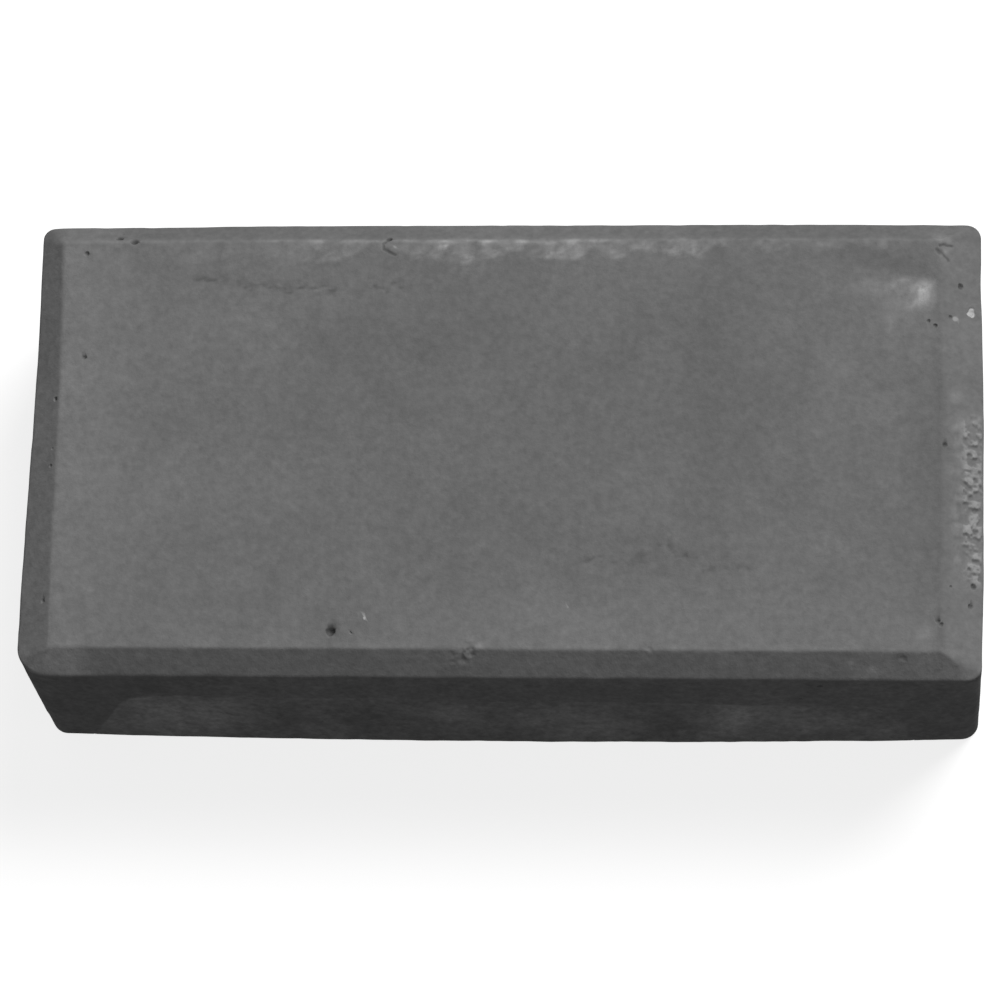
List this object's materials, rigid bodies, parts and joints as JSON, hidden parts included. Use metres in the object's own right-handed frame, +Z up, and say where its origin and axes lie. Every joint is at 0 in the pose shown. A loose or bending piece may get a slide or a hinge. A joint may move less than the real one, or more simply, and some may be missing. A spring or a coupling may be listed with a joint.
{
  "type": "sharpening whetstone",
  "caption": "Small rectangular combination whetstone with a chamfered fine-grit face bonded to a coarse-grit back, for honing carving knives and gouges.",
  "frame": {"origin": "middle of the flat base, the face the stone stands on", "axes": "+X along the stone's length towards its wider end chamfer, +Y across its width, +Z up to the fine-grit face"},
  "size_m": [0.1, 0.05, 0.025],
  "materials": {
    "fine_grit_stone": "matte",
    "coarse_grit_stone": "matte"
  },
  "bodies": {
    "root": {"fine_grit_layer": "fine_grit_stone", "coarse_grit_layer": "coarse_grit_stone"}
  },
  "joints": []
}
